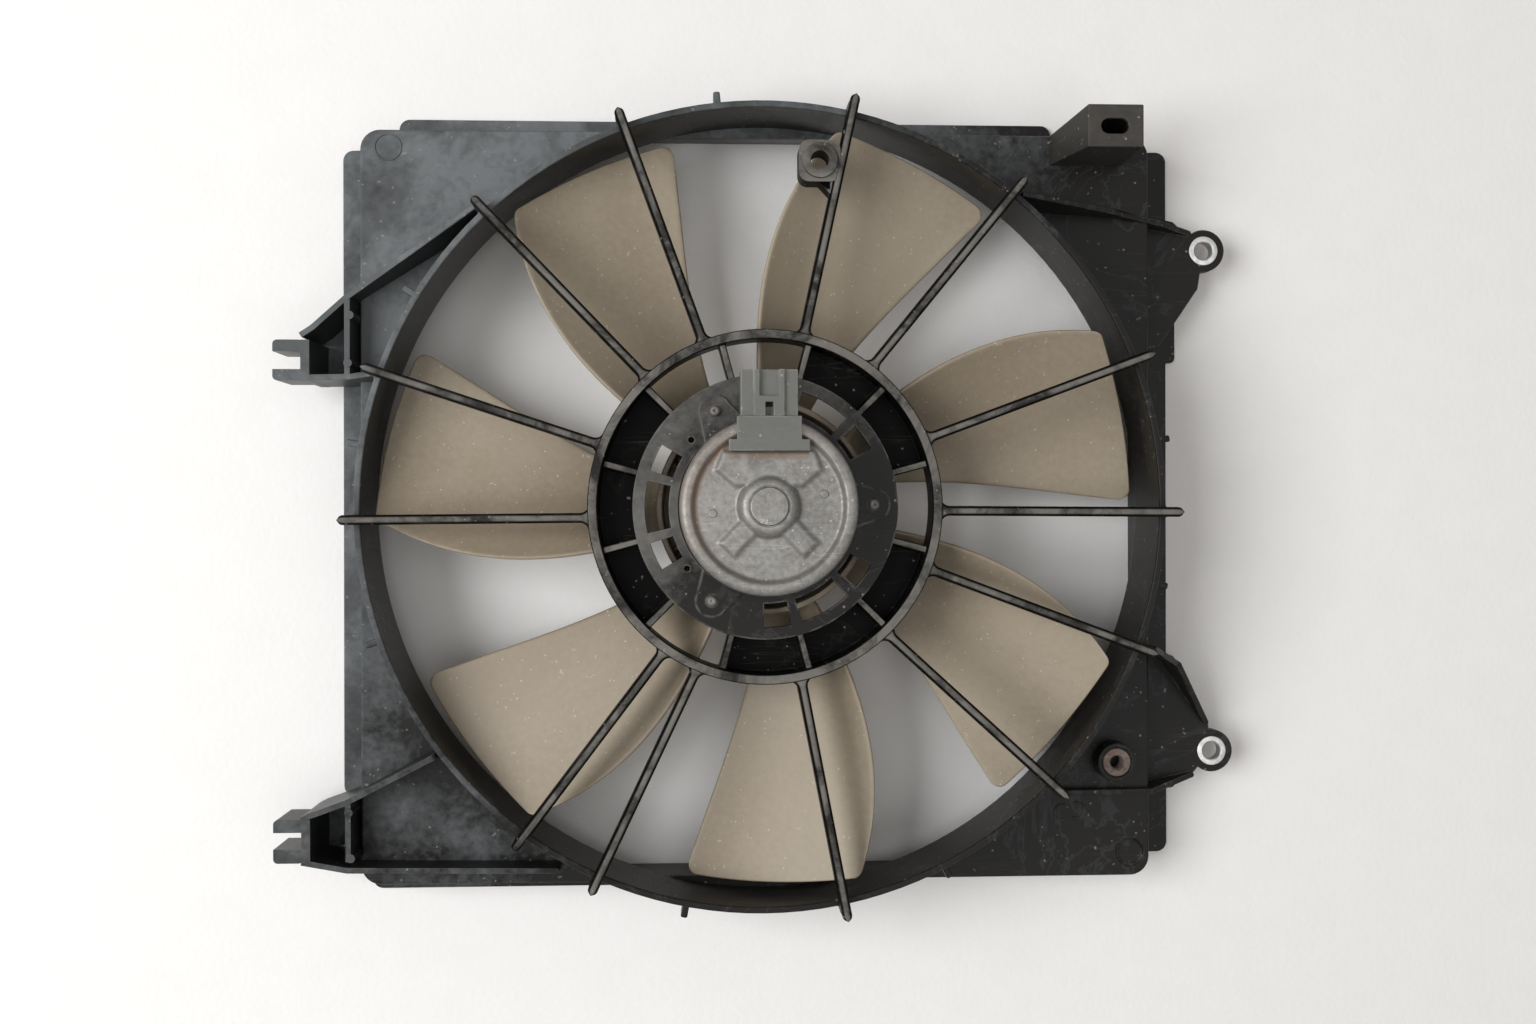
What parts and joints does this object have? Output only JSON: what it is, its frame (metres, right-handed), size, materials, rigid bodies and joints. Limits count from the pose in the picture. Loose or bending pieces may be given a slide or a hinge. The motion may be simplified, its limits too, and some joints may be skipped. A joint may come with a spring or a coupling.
{
  "type": "radiator cooling fan",
  "caption": "Electric radiator cooling fan: moulded shroud with ring and guard spokes, a curved-blade fan on a motor in the middle, fork and eyelet arms at the sides.",
  "frame": {"origin": "on the fan's axis, in the plane of the flat strips that lie against the radiator", "axes": "+Z from the radiator through the fan to the motor, +X along the long side towards the screw eyes, +Y towards the mouth of the connector"},
  "size_m": [0.4439, 0.3678, 0.1155],
  "materials": {
    "shroud_plastic": "dusty, scuffed, semi-gloss moulding",
    "guard_plastic": "black moulding with worn grey edges",
    "fan_plastic": "cloudy beige, specked with dust",
    "zinc_steel": "dull zinc plate with rust tint",
    "plated_steel": "plated, slightly tarnished",
    "rusty_steel": "surface rust",
    "bronze": "sintered, oiled",
    "ferrite": "dark ceramic, fine-grained",
    "spring_steel": "bright strip and wire",
    "card_plastic": "brown phenolic",
    "carbon": "dull carbon",
    "tinned_brass": "tinned",
    "connector_plastic": "grey-green, satin",
    "shaft_steel": "ground",
    "core_steel": "stacked sheet",
    "copper": "lacquered copper"
  },
  "bodies": {
    "shroud": {"shroud_plate": "shroud_plastic", "shroud_skirt": "shroud_plastic", "base_lip": "shroud_plastic", "shroud_ring": "shroud_plastic", "guard_spokes": "guard_plastic", "hub_ring": "guard_plastic", "motor_disc": "guard_plastic", "upper_fork_arm": "shroud_plastic", "lower_fork_arm": "shroud_plastic", "upper_eyelet_arm": "shroud_plastic", "lower_eyelet_arm": "shroud_plastic", "plate_ridges": "shroud_plastic", "eyelet_sleeves": "plated_steel", "slot_bracket": "shroud_plastic", "harness_eye": "guard_plastic", "screw_boss": "shroud_plastic", "threaded_insert": "rusty_steel", "motor_can": "zinc_steel", "motor_bracket": "zinc_steel", "motor_screws": "plated_steel", "rear_bush": "bronze", "front_bush": "bronze", "field_magnets": "ferrite", "magnet_clips": "spring_steel", "brush_card": "card_plastic", "brushes": "carbon", "brush_springs": "spring_steel", "connector_terminals": "tinned_brass", "connector_holder": "connector_plastic", "connector_housing": "connector_plastic"},
    "rotor": {"motor_shaft": "shaft_steel", "armature_core": "core_steel", "armature_windings": "copper", "commutator": "copper", "fan_hub": "fan_plastic", "fan_blades": "fan_plastic", "drive_pin": "shaft_steel", "fan_washer": "plated_steel", "fan_nut": "plated_steel"}
  },
  "joints": [
    {"name": "fan_spin", "type": "hinge", "parent": "shroud", "child": "rotor", "pos_m": [0, 0, 0.045], "axis": [0, 0, 1], "continuous": true}
  ]
}
